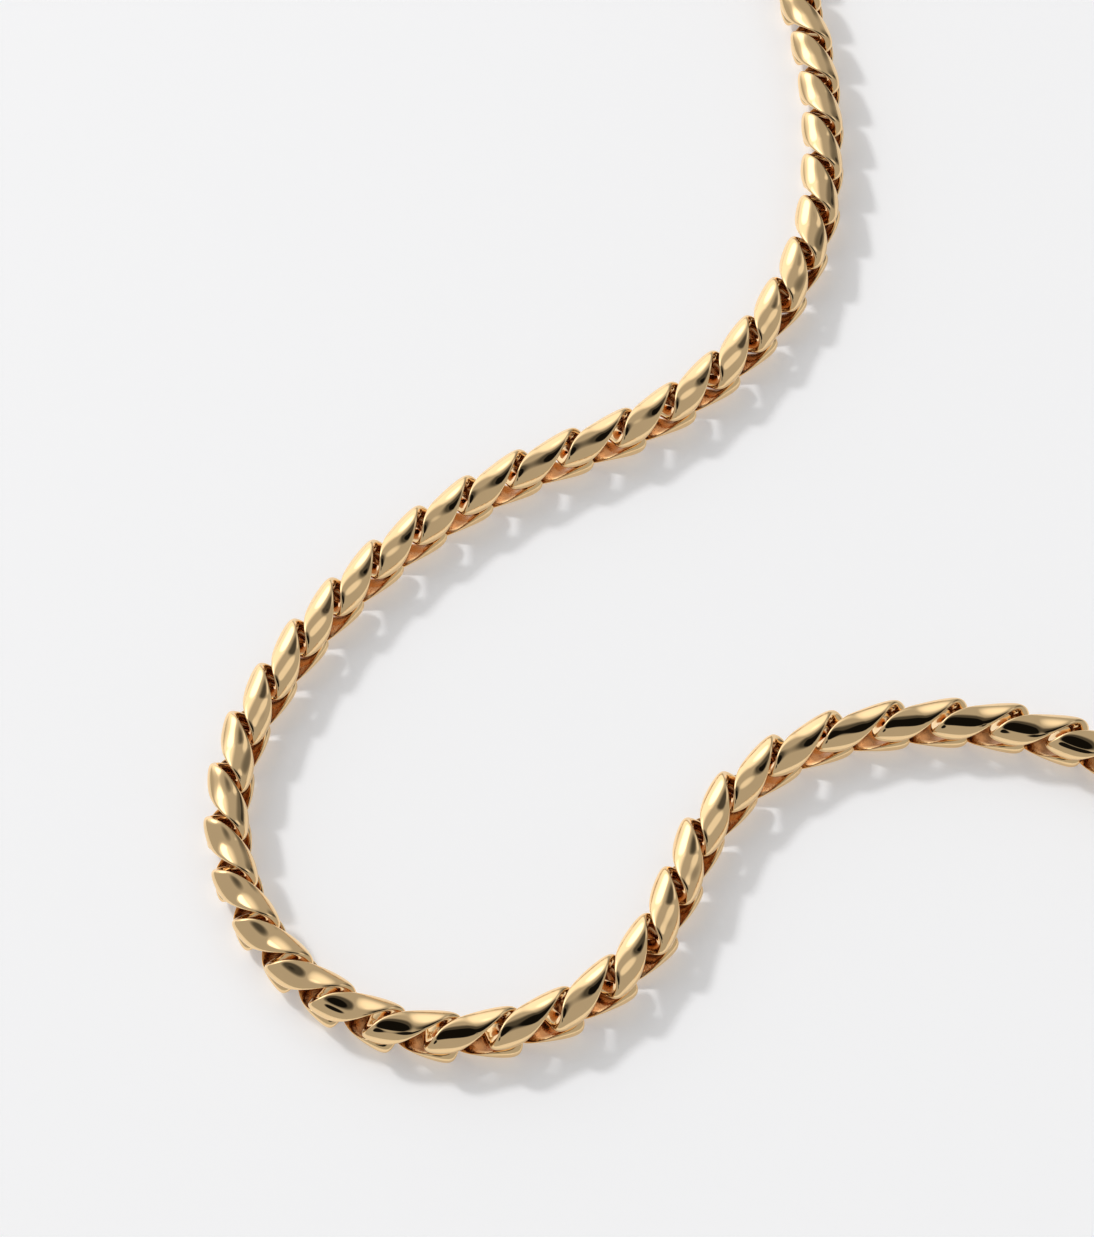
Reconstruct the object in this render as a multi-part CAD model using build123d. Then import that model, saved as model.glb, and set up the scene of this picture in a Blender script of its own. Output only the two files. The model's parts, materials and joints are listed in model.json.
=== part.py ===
"""Chain necklace: fifty sculpted curb links, two jump rings, an end tag and a lobster clasp.

Units are millimetres. The necklace lies open on a flat surface (z = 0) in a loose S, with the
end tag at the far end and the clasp at the right-hand end. Origin: middle of the footprint.
"""

import os
from math import asin, copysign, cos, degrees, pi, radians, sin, tanh

from build123d import *

# ------------------------------------------------------------------ link
PITCH = 8.4                      # from one joint of the chain to the next
OUT_L, OUT_H, OUT_N = 6.80, 3.30, 4.1   # outer rim before twisting: half length, half height, squareness
IN_L, IN_H, IN_N = 4.36, 2.00, 5.5      # inner rim before twisting
TWIST, TWIST_RATE = 57.0, 0.68   # degrees turned at each end, and how early along the link
PRESS_Y, PRESS_Z = 1.45, 0.86    # the twisted ring is pressed wide and low
WIDE_MID, WIDE_END = 2.08, 0.78  # half width of the strand at its middle and at the ends
WIDE_POW = 2.3                   # how the width swells towards the middle
CREST = 0.35                     # where the strand is widest, from inner rim to outer rim
SIDE_W, SIDE_SHARP = 3.55, 8.0   # the sides of the link are flattened at this half width
LINK_Z = 3.15                    # height of the chain's axis above the surface it lies on
RING_STEPS = 24                  # sections along half a link
SIDE_STEPS = 6                   # steps round each side of a section

# ------------------------------------------------------------------ chain
LINKS = 50
START_HEADING = -90.0            # degrees, the way the first link points
CLASP_HEADING = -90.0            # and the clasp
# the chain's arcs, from the end tag: (number of joints, degrees at each)
BENDS = [
    (4, 0), (4, -4), (7, -9), (1, 2), (7, 6), (7, 12),
    (6, 16), (1, 3), (1, -12), (3, -16), (5, -9), (3, -11),
]
SWING = 24.0                     # the most that two neighbouring links can bend, either way

# ------------------------------------------------------------------ jump rings
JUMP_R, JUMP_WIRE = 3.00, 0.45   # ring radius to the wire's middle, wire radius
JUMP_Z = 3.47                    # height of the ring's centre
JUMP_GAP = 0.16                  # running clearance between the ring and the link's bar

# ------------------------------------------------------------------ end tag
TAG_EYE_R, TAG_BORE_R = 1.15, 2.40   # small eye for the jump ring, large eye for the clasp
TAG_WALL, TAG_T = 0.85, 1.40         # wall round both eyes, thickness
TAG_FILLET = 0.30
TAG_Z = 2.25                         # height of the small eye
TAG_LENGTH = TAG_EYE_R + 2 * TAG_BORE_R + 2 * TAG_WALL   # from the small eye's middle to the far end

# ------------------------------------------------------------------ clasp
CLASP_EYE_R, CLASP_EYE_WALL = 1.10, 0.80
CLASP_T = 4.20                   # thickness of the body, which lies flat
CLASP_EYE_T = 1.20               # the eye is thinner than the body
CLASP_MID_X = 9.2                # middle of the body's oval, from the eye
CLASP_A, CLASP_B = 7.0, 4.4      # oval of the body
HOOK_X, HOOK_Y = 10.4, 0.25      # middle of the hook's opening
HOOK_A, HOOK_B = 4.25, 2.85      # oval of the opening
PIVOT_X, PIVOT_Y = 4.7, -0.3     # rivet of the lever
SLOT_T, LEVER_T = 1.60, 1.40     # slot through the body and the lever that turns in it
RIVET_R, RIVET_PLAY = 0.50, 0.05
SPRING_T, SPRING_W = 0.18, 0.90
HUB_R, TAB_W, TAB_REACH = 1.25, 1.20, 5.0        # lever: hub, thumb tab and how far out it reaches
GATE_R = 8.60                    # the gate's tip, from the rivet
GATE_PLAY = 0.12                 # between the gate and the hook's nose
LEVER_ARM_T = 3.60               # the gate is thicker than the lever's hub


def power(value, exponent):
    return copysign(abs(value) ** exponent, value)


def rim(t, half_length, half_height, squareness):
    """A point on a squared oval that is twisted about the chain's axis, and its angle of twist."""
    x = half_length * power(cos(t), 2 / squareness)
    height = half_height * power(sin(t), 2 / squareness)
    turn = radians(TWIST) * tanh(TWIST_RATE * x / OUT_L) / tanh(TWIST_RATE)
    return Vector(x, height * PRESS_Y * sin(turn), height * PRESS_Z * cos(turn))


def rims(t):
    return rim(t, IN_L, IN_H, IN_N), rim(t, OUT_L, OUT_H, OUT_N)


def middle(t):
    inner, outer = rims(t)
    return (inner + outer) * 0.5


def flatten(point, normal):
    """Move a point of a section, within the section's plane, so that it keeps inside the flat sides."""
    limited = point.Y / (1 + abs(point.Y / SIDE_W) ** SIDE_SHARP) ** (1 / SIDE_SHARP)
    sideways = Vector(0, 1, 0) - normal * normal.Y
    return point + sideways * ((limited - point.Y) / sideways.dot(sideways))


def even_angles(steps):
    """Angles from one end of the link to the other that are evenly spaced along the strand."""
    fine = [pi * i / 1500 for i in range(1501)]
    points = [middle(t) for t in fine]
    length = [0.0]
    for a, b in zip(points, points[1:]):
        length.append(length[-1] + (b - a).length)
    angles, k = [], 0
    for i in range(steps + 1):
        wanted = length[-1] * i / steps
        while k < 1499 and length[k + 1] < wanted:
            k += 1
        share = (wanted - length[k]) / (length[k + 1] - length[k])
        angles.append(fine[k] + (fine[k + 1] - fine[k]) * min(max(share, 0), 1))
    return angles


def section(t, step=0.01):
    """One closed section of the strand: an oval between the two rims, flattened at the sides."""
    inner, outer = rims(t)
    along = (middle(t + step) - middle(t - step)).normalized()
    out = (outer - inner).normalized()
    across = out.cross(along).normalized()
    normal = across.cross(out)
    thick = (outer - inner).length
    wide = WIDE_END + (WIDE_MID - WIDE_END) * abs(sin(t)) ** WIDE_POW
    crest = inner + out * (thick * CREST)

    def side(first, reach):
        def on(u):
            return flatten(crest + across * (wide * cos(u)) + out * (reach * sin(u)), normal)

        angles = [first + pi * i / SIDE_STEPS for i in range(SIDE_STEPS + 1)]
        slopes = [(on(u + step) - on(u - step)) * (0.5 / step) for u in (angles[0], angles[-1])]
        return Edge.make_spline([on(u) for u in angles], slopes, parameters=angles, scale=False)

    return Wire([side(0, thick * (1 - CREST)), side(pi, thick * CREST)])


def curb_link():
    """One link, centred on the chain's axis: a strand lofted right round a twisted, squared ring."""
    ring = [t + turn for turn in (0, pi) for t in even_angles(RING_STEPS)[:-1]]
    start = RING_STEPS // 2
    sections = [section(t) for t in ring[start:] + ring[:start]]
    return Solid.make_loft(sections + [sections[0]], False)


def torus_ring(radius, wire):
    """A round ring standing upright along X."""
    return Plane.XZ * Torus(radius, wire)


def end_tag():
    """Figure-of-eight tag: small eye at the origin, large eye along +X."""
    apart = TAG_EYE_R + TAG_WALL + TAG_BORE_R
    plate = Cylinder(TAG_EYE_R + TAG_WALL, TAG_T) + Pos(apart, 0) * Cylinder(TAG_BORE_R + TAG_WALL, TAG_T)
    plate = fillet(plate.edges().filter_by(Axis.Z), 0.6)
    plate = fillet(plate.faces().sort_by(Axis.Z)[-1].edges() + plate.faces().sort_by(Axis.Z)[0].edges(), TAG_FILLET)
    plate -= Cylinder(TAG_EYE_R, TAG_T * 2) + Pos(apart, 0) * Cylinder(TAG_BORE_R, TAG_T * 2)
    return plate.solids()[0]


def clasp_oval(grow=0.0):
    return Pos(CLASP_MID_X, 0) * Ellipse(CLASP_A + grow, CLASP_B + grow)


def hook_oval(grow=0.0):
    return Pos(HOOK_X, HOOK_Y) * Ellipse(HOOK_A + grow, HOOK_B + grow)


def clasp_body():
    """Hook-shaped body with an eye at the origin, nose along +X and its opening towards -Y."""
    body = extrude(clasp_oval(), CLASP_T / 2, both=True)
    body = fillet(body.edges(), 1.5)
    neck = Pos(2.0, 0) * Box(4.0, 2.4, CLASP_EYE_T)
    eye = Cylinder(CLASP_EYE_R + CLASP_EYE_WALL, CLASP_EYE_T)
    body = body + neck + eye - Cylinder(CLASP_EYE_R, CLASP_T * 2)
    body -= extrude(hook_oval(), CLASP_T, both=True)
    # slot for the lever, right across the tail
    body -= Pos(3.1 + 2.5, 0) * Box(5.0, 14, SLOT_T)
    # the way in, which the gate closes
    gap = Pos(6.0 + 5, -0.6 - 3) * Rectangle(10, 6) & Pos(PIVOT_X, PIVOT_Y) * Circle(GATE_R + GATE_PLAY)
    body -= extrude(gap, CLASP_T, both=True)
    body -= Pos(PIVOT_X, PIVOT_Y) * Cylinder(RIVET_R, CLASP_T * 2)
    return body.solids().sort_by(SortBy.VOLUME)[-1]


def clasp_lever():
    """Hub on the rivet, a gate that closes the hook and a thumb tab on the other side."""
    hub = Pos(PIVOT_X, PIVOT_Y) * Circle(HUB_R)
    tab = Pos(PIVOT_X, PIVOT_Y + TAB_REACH / 2) * Rectangle(TAB_W, TAB_REACH)
    tab += Pos(PIVOT_X, PIVOT_Y + TAB_REACH) * Circle(TAB_W / 2)
    band = clasp_oval(-0.12) - hook_oval(0.05)
    reach = Pos(PIVOT_X, PIVOT_Y) * Circle(GATE_R)
    gate = band & reach & Pos(6.8 + 5, -0.8 - 3) * Rectangle(10, 6)
    thin = band & Pos(5.6, -0.8 - 2) * Rectangle(3.4, 4)
    root = Pos(5.3, -1.2) * Rectangle(2.2, 1.8)
    lever = extrude(hub + tab + thin + root, LEVER_T / 2, both=True)
    lever += extrude(gate, LEVER_ARM_T / 2, both=True)
    lever -= Pos(PIVOT_X, PIVOT_Y) * Cylinder(RIVET_R + RIVET_PLAY, CLASP_T)
    return lever.solids().sort_by(SortBy.VOLUME)[-1]


def clasp_rivet():
    return Pos(PIVOT_X, PIVOT_Y) * Cylinder(RIVET_R, CLASP_T)


def clasp_spring():
    """Bowed leaf in the slot, between the tail and the thumb tab."""
    big = Pos(3.14, 1.35) * Ellipse(0.88, 0.75) & Pos(3.14 + 1, 1.35) * Rectangle(2, 3)
    small = Pos(3.14, 1.35) * Ellipse(0.88 - SPRING_T, 0.75 - SPRING_T)
    return extrude(big - small, SPRING_W / 2, both=True).solids()[0]


def bend(joint):
    """Degrees between a link and the next one at rest."""
    for count, turn in BENDS:
        if joint <= count:
            return turn
        joint -= count


def walk():
    """Joint positions and link headings of the chain, from the end tag to the clasp."""
    heading, at = START_HEADING, Vector(0, 0, LINK_Z)
    pivots, headings = [at], []
    for number in range(1, LINKS + 1):
        headings.append(heading)
        at = at + Vector(cos(radians(heading)), sin(radians(heading)), 0) * PITCH
        pivots.append(at)
        if number < LINKS:
            heading += bend(number)
    return pivots, headings


def ahead(point, heading, distance, z=None):
    p = point + Vector(cos(radians(heading)), sin(radians(heading)), 0) * distance
    return Vector(p.X, p.Y, point.Z if z is None else z)


def set_down(shape, point, heading):
    return Pos(point.X, point.Y, point.Z) * Rot(0, 0, heading) * shape


RING_X = IN_L - JUMP_WIRE - JUMP_GAP + JUMP_R    # ring's centre, from the link's centre
EYE_BACK = 0.48                  # an eye's centre is this far inside the ring's outermost wire


def layout():
    """Where every piece goes: {node: (shape, point, heading)} and the hinges' points."""
    pivots, headings = walk()
    link = curb_link()
    pieces, hinges = {}, {}
    for n in range(LINKS):
        middle_point = (pivots[n] + pivots[n + 1]) * 0.5
        pieces[f"link_{n + 1:02d}"] = (link, middle_point, headings[n])
        if n:
            hinges[f"link_{n:02d}_to_{n + 1:02d}"] = pivots[n]
    ring = torus_ring(JUMP_R, JUMP_WIRE)
    ends = {
        "tag": (pivots[0], headings[0] + 180, 0.0, headings[0] + 180, TAG_Z),
        "clasp": (pivots[-1], headings[-1], -5.0, CLASP_HEADING, CLASP_T / 2),
    }
    for name, (pivot, out, turn, along, eye_z) in ends.items():
        ring_point = ahead(pivot, out + turn, RING_X - PITCH / 2, JUMP_Z)
        drop = JUMP_Z - eye_z
        wire_x = (JUMP_R**2 - drop**2) ** 0.5
        wire_point = ahead(ring_point, out + turn, wire_x, eye_z)
        eye = ahead(wire_point, along, JUMP_R - EYE_BACK - wire_x, eye_z)
        pieces[f"jump_ring_{name}"] = (ring, ring_point, out + turn)
        hinges[f"jump_ring_{name}_turn"] = pivot
        hinges[f"{name}_turn"] = wire_point
        if name == "tag":
            tilt = degrees(asin((TAG_Z - TAG_T / 2 - 0.06) / TAG_LENGTH))
            pieces["end_tag"] = (Rot(0, tilt, 0) * end_tag(), eye, along)
        else:
            for node, shape in (
                ("clasp_body", clasp_body()),
                ("clasp_lever", clasp_lever()),
                ("clasp_rivet", clasp_rivet()),
                ("clasp_spring", clasp_spring()),
            ):
                pieces[node] = (shape, eye, along)
            hinges["clasp_lever_press"] = ahead(ahead(eye, along, PIVOT_X), along + 90, PIVOT_Y)
    return pieces, hinges


def placed():
    """Every node's solid and every hinge's point, about the middle of the footprint."""
    pieces, hinges = layout()
    solids = {node: set_down(shape, point, heading) for node, (shape, point, heading) in pieces.items()}
    box = Compound(list(solids.values())).bounding_box()
    shift = Vector(-(box.min.X + box.max.X) / 2, -(box.min.Y + box.max.Y) / 2, -box.min.Z)
    solids = {node: Pos(shift) * solid for node, solid in solids.items()}
    return solids, {name: point + shift for name, point in hinges.items()}


if __name__ == "__main__":
    os.makedirs("parts", exist_ok=True)
    for node, solid in placed()[0].items():
        solid.label = node
        export_step(solid, f"parts/{node}.step")
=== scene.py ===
"""Chain necklace in mirror-polished yellow gold, lying open in a loose S on a glossy white table.

Metres, in the row's frame. Every link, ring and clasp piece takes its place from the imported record.
"""
import json
from math import atan2, cos, pi, radians, sin

import bpy
import numpy as np
from mathutils import Matrix, Vector


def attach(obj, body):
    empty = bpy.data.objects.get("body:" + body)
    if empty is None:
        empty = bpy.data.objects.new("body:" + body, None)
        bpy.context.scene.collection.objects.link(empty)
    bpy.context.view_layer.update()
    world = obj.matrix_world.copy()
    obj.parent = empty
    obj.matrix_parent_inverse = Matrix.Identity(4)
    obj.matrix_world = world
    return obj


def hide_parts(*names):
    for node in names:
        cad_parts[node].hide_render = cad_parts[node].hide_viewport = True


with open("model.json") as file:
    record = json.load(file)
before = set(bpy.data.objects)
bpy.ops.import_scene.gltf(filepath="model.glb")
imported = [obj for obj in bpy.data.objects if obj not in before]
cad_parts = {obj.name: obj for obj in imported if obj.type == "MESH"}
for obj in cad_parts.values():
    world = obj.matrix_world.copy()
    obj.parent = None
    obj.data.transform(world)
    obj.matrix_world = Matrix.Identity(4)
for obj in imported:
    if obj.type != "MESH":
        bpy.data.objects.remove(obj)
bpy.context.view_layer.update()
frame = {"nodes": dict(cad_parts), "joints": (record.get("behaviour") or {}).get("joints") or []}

MM = 0.001

# ------------------------------------------------------------------ link, as in the CAD model
PITCH = 8.4
OUT_L, OUT_H, OUT_N = 6.80, 3.30, 4.1
IN_L, IN_H, IN_N = 4.36, 2.00, 5.5
TWIST, TWIST_RATE = 57.0, 0.68
PRESS_Y, PRESS_Z = 1.45, 0.86
WIDE_MID, WIDE_END, WIDE_POW = 2.08, 0.78, 2.3
CREST = 0.35
SIDE_W, SIDE_SHARP = 3.55, 8.0
STRAND_STEPS, ROUND_STEPS = 144, 44
LINKS = 50


def power(value, exponent):
    return np.sign(value) * np.abs(value) ** exponent


def rim(t, half_length, half_height, squareness):
    """Points on a squared oval that is twisted about the chain's axis."""
    x = half_length * power(np.cos(t), 2 / squareness)
    height = half_height * power(np.sin(t), 2 / squareness)
    turn = radians(TWIST) * np.tanh(TWIST_RATE * x / OUT_L) / np.tanh(TWIST_RATE)
    return np.stack([x, height * PRESS_Y * np.sin(turn), height * PRESS_Z * np.cos(turn)], 1)


def unit(v):
    return v / np.linalg.norm(v, axis=1)[:, None]


def middle(t):
    return (rim(t, IN_L, IN_H, IN_N) + rim(t, OUT_L, OUT_H, OUT_N)) / 2


def even_angles(steps):
    """Angles round the link that are evenly spaced along the strand."""
    fine = np.linspace(0, 2 * pi, 6001)
    length = np.linalg.norm(np.diff(middle(fine), axis=0), axis=1)
    length = np.concatenate([[0], np.cumsum(length)])
    return np.interp(np.arange(steps) / steps * length[-1], length, fine)


def link_grid():
    """Grid of points over the link, in mm: rows along the strand, columns round it."""
    t = even_angles(STRAND_STEPS)
    inner, outer = rim(t, IN_L, IN_H, IN_N), rim(t, OUT_L, OUT_H, OUT_N)
    along = unit(middle(t + 0.01) - middle(t - 0.01))
    thick = np.linalg.norm(outer - inner, axis=1)
    out = unit(outer - inner)
    across = unit(np.cross(out, along))
    normal = np.cross(across, out)
    wide = WIDE_END + (WIDE_MID - WIDE_END) * np.abs(np.sin(t)) ** WIDE_POW
    crest = inner + out * (thick * CREST)[:, None]
    u = 2 * pi * np.arange(ROUND_STEPS) / ROUND_STEPS
    reach = np.where(np.sin(u) > 0, 1 - CREST, CREST)[None] * thick[:, None]
    grid = (
        crest[:, None]
        + across[:, None] * (wide[:, None] * np.cos(u))[..., None]
        + out[:, None] * (reach * np.sin(u))[..., None]
    )
    y = grid[..., 1]
    limited = y / (1 + np.abs(y / SIDE_W) ** SIDE_SHARP) ** (1 / SIDE_SHARP)
    sideways = np.array([0.0, 1.0, 0.0]) - normal * normal[:, 1:2]
    shift = (limited - y) / (sideways**2).sum(1)[:, None]
    return grid + sideways[:, None] * shift[..., None], -np.sin(u)


def link_mesh():
    grid, inward = link_grid()
    rows, columns = grid.shape[:2]
    index = np.arange(rows * columns).reshape(rows, columns)
    down, right = np.roll(index, -1, 0), np.roll(index, -1, 1)
    faces = np.stack([index, right, np.roll(down, -1, 1), down], -1).reshape(-1, 4)
    mesh = bpy.data.meshes.new("curb_link")
    mesh.from_pydata((grid.reshape(-1, 3) * MM).tolist(), [], faces.tolist())
    mesh.polygons.foreach_set("use_smooth", np.ones(len(faces), bool))
    bore = mesh.attributes.new("bore_side", "FLOAT", "POINT")
    bore.data.foreach_set("value", np.tile(np.clip(inward, 0, 1), rows).astype(np.float32))
    mesh.update()
    return mesh


# ------------------------------------------------------------------ materials
def nodes_of(name):
    material = bpy.data.materials.new(name)
    material.use_nodes = True
    tree = material.node_tree
    return material, tree, tree.nodes["Principled BSDF"]


GOLD = (1.0, 0.71, 0.38)
STEEL = (0.62, 0.62, 0.60)
INNER_SHADE_TINT = (0.42, 0.26, 0.18)           # painted shade: the share of the metal's colour left on the inner side of the strands
CAST_ROUGHNESS = 0.20


def metal(name, colour, roughness):
    """Polished metal: its colour drifts a little, and inside the links it is rougher, finely bumped
    and darkened with painted shade.
    """
    material, tree, shader = nodes_of(name)
    new, link = tree.nodes.new, tree.links.new
    shader.inputs["Metallic"].default_value = 1.0
    place = new("ShaderNodeTexCoord")
    warm = new("ShaderNodeTexNoise")
    warm.inputs["Scale"].default_value = 260.0
    warm.inputs["Detail"].default_value = 3.0
    link(place.outputs["Object"], warm.inputs["Vector"])
    bore = new("ShaderNodeAttribute")
    bore.attribute_name = "bore_side"
    # mask of the inner side of the strands: drives the painted shade there, and the rougher, bumped
    # skin
    inner_shade_and_rough_skin = new("ShaderNodeMapRange")
    inner_shade_and_rough_skin.inputs["From Min"].default_value = 0.10
    inner_shade_and_rough_skin.inputs["From Max"].default_value = 0.75
    link(bore.outputs["Fac"], inner_shade_and_rough_skin.inputs["Value"])
    ramp = new("ShaderNodeValToRGB")
    ramp.color_ramp.elements[0].position = 0.35
    ramp.color_ramp.elements[1].position = 0.65
    ramp.color_ramp.elements[0].color = (*[c * 0.97 for c in colour], 1)
    ramp.color_ramp.elements[1].color = (*colour, 1)
    link(warm.outputs["Fac"], ramp.inputs["Fac"])
    # painted shade: the colour is darkened on the inner side of the strands, where neighbouring links
    # shade it
    painted_inner_shade = new("ShaderNodeMix")
    painted_inner_shade.data_type = "RGBA"
    painted_inner_shade.inputs["B"].default_value = (*[c * t for c, t in zip(colour, INNER_SHADE_TINT)], 1)
    link(inner_shade_and_rough_skin.outputs["Result"], painted_inner_shade.inputs["Factor"])
    link(ramp.outputs["Color"], painted_inner_shade.inputs["A"])
    link(painted_inner_shade.outputs["Result"], shader.inputs["Base Color"])
    rough = new("ShaderNodeMapRange")
    rough.inputs["To Min"].default_value = roughness
    rough.inputs["To Max"].default_value = CAST_ROUGHNESS
    link(inner_shade_and_rough_skin.outputs["Result"], rough.inputs["Value"])
    link(rough.outputs["Result"], shader.inputs["Roughness"])
    skin = new("ShaderNodeTexNoise")
    skin.inputs["Scale"].default_value = 2600.0
    skin.inputs["Detail"].default_value = 4.0
    link(place.outputs["Object"], skin.inputs["Vector"])
    depth = new("ShaderNodeMapRange")
    depth.inputs["To Min"].default_value = 0.004
    depth.inputs["To Max"].default_value = 0.5
    link(inner_shade_and_rough_skin.outputs["Result"], depth.inputs["Value"])
    bump = new("ShaderNodeBump")
    bump.inputs["Distance"].default_value = 0.08 * MM
    link(depth.outputs["Result"], bump.inputs["Strength"])
    link(skin.outputs["Fac"], bump.inputs["Height"])
    link(bump.outputs["Normal"], shader.inputs["Normal"])
    return material


polished = metal("polished_gold", GOLD, 0.015)
steel = metal("spring_steel", STEEL, 0.22)

# ------------------------------------------------------------------ links
places = {j["name"]: Vector(j["pos_m"]) for j in frame["joints"]}
pivots = (
    [places["jump_ring_tag_turn"]]
    + [places[f"link_{n:02d}_to_{n + 1:02d}"] for n in range(1, LINKS)]
    + [places["jump_ring_clasp_turn"]]
)
link_shape = link_mesh()
link_shape.materials.append(polished)
for n in range(1, LINKS + 1):
    start, end = pivots[n - 1], pivots[n]
    piece = bpy.data.objects.new(f"gold_link_{n:02d}", link_shape)
    bpy.context.scene.collection.objects.link(piece)
    heading = atan2(end.y - start.y, end.x - start.x)
    piece.matrix_world = Matrix.Translation((start + end) / 2) @ Matrix.Rotation(heading, 4, "Z")
    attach(piece, f"link_{n:02d}")
    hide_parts(f"link_{n:02d}")

# ------------------------------------------------------------------ end fittings
for name, node in frame["nodes"].items():
    if name.startswith("link_"):
        continue
    node.data.materials.clear()
    node.data.materials.append(steel if name == "clasp_spring" else polished)

# ------------------------------------------------------------------ table and studio
TABLE = 3.0
table_mesh = bpy.data.meshes.new("table_top")
corners = [(-TABLE, -TABLE, 0), (TABLE, -TABLE, 0), (TABLE, TABLE, 0), (-TABLE, TABLE, 0)]
table_mesh.from_pydata(corners, [], [(0, 1, 2, 3)])
table = bpy.data.objects.new("table_top", table_mesh)
bpy.context.scene.collection.objects.link(table)
acrylic, tree, shader = nodes_of("white_acrylic")
shader.inputs["Base Color"].default_value = (0.86, 0.86, 0.87, 1)
shader.inputs["Roughness"].default_value = 0.22
shader.inputs["Emission Color"].default_value = (1, 1, 1, 1)
shader.inputs["Emission Strength"].default_value = 0.27
table_mesh.materials.append(acrylic)


def towards(azimuth, elevation):
    """Unit vector: azimuth from +Y towards +X, elevation above the table, in degrees."""
    a, e = radians(azimuth), radians(elevation)
    return Vector((sin(a) * cos(e), cos(a) * cos(e), sin(e)))


KEY = towards(-36, 37)
sun = bpy.data.lights.new("key_light", "SUN")
sun.energy = 1.35
sun.angle = radians(7)
key = bpy.data.objects.new("key_light", sun)
key.rotation_euler = KEY.to_track_quat("Z", "Y").to_euler()
key.visible_glossy = False
bpy.context.scene.collection.objects.link(key)

world = bpy.data.worlds.new("studio")
bpy.context.scene.world = world
world.use_nodes = True
sky = world.node_tree
sky_coordinates = sky.nodes.new("ShaderNodeTexCoord")


def lobe(direction, inner, outer):
    """1 within the inner angle of a direction, 0 beyond the outer one, in degrees."""
    dot = sky.nodes.new("ShaderNodeVectorMath")
    dot.operation = "DOT_PRODUCT"
    dot.inputs[1].default_value = direction
    sky.links.new(sky_coordinates.outputs["Generated"], dot.inputs[0])
    fade = sky.nodes.new("ShaderNodeMapRange")
    fade.interpolation_type = "SMOOTHSTEP"
    fade.inputs["From Min"].default_value = cos(radians(outer))
    fade.inputs["From Max"].default_value = cos(radians(inner))
    sky.links.new(dot.outputs["Value"], fade.inputs["Value"])
    return fade.outputs["Result"]


def layer(below, amount, grey):
    """Blend a grey level over what is below, by an amount."""
    mix = sky.nodes.new("ShaderNodeMix")
    mix.data_type = "RGBA"
    sky.links.new(amount, mix.inputs["Factor"])
    if isinstance(below, float):
        mix.inputs["A"].default_value = (below, below, below, 1)
    else:
        sky.links.new(below, mix.inputs["A"])
    mix.inputs["B"].default_value = (grey, grey, grey, 1)
    return mix.outputs["Result"]


level = layer(0.44, lobe(towards(-22, 27), 14, 36), 1.20)
level = layer(level, lobe(towards(-34, 39), 8, 17), 2.10)
level = layer(level, lobe(towards(56, 18), 9, 24), 0.16)
level = layer(level, lobe(towards(57, 14), 4, 8), 0.04)
level = layer(level, lobe(towards(68, 49), 7, 15), 0.85)
level = layer(level, lobe(towards(160, 88), 19, 30), 0.07)
level = layer(level, lobe(towards(180, 80), 18, 21), 0.006)
level = layer(level, lobe(towards(220, 51), 9, 12), 0.008)
background = sky.nodes["Background"]
sky.links.new(level, background.inputs["Color"])
background.inputs["Strength"].default_value = 1.0
bpy.context.scene.view_settings.view_transform = "Standard"

# ------------------------------------------------------------------ camera
VIEW_DOWN = radians(55.30)
ROLL = radians(-11.91)
SENSOR_MM = 36                           # as tall as the picture
LENS_MM = 140.581
DISTANCE = 0.6997
# the point of the table in the middle of the picture, from the fifth joint of the chain
AIM = pivots[4] + Vector((-58.6, -101.8, 0)) * MM
AIM.z = 0
forward = Vector((0, cos(VIEW_DOWN), -sin(VIEW_DOWN)))
right = Vector((1, 0, 0))
up = right.cross(forward)
camera_data = bpy.data.cameras.new("camera")
camera_data.sensor_width = SENSOR_MM
camera_data.lens = LENS_MM
camera_data.clip_end = 20
camera = bpy.data.objects.new("camera", camera_data)
bpy.context.scene.collection.objects.link(camera)
turned_right = right * cos(ROLL) + up * sin(ROLL)
turned_up = up * cos(ROLL) - right * sin(ROLL)
axes = Matrix((turned_right, turned_up, -forward)).transposed().to_4x4()
camera.matrix_world = Matrix.Translation(AIM - forward * DISTANCE) @ axes
bpy.context.scene.camera = camera
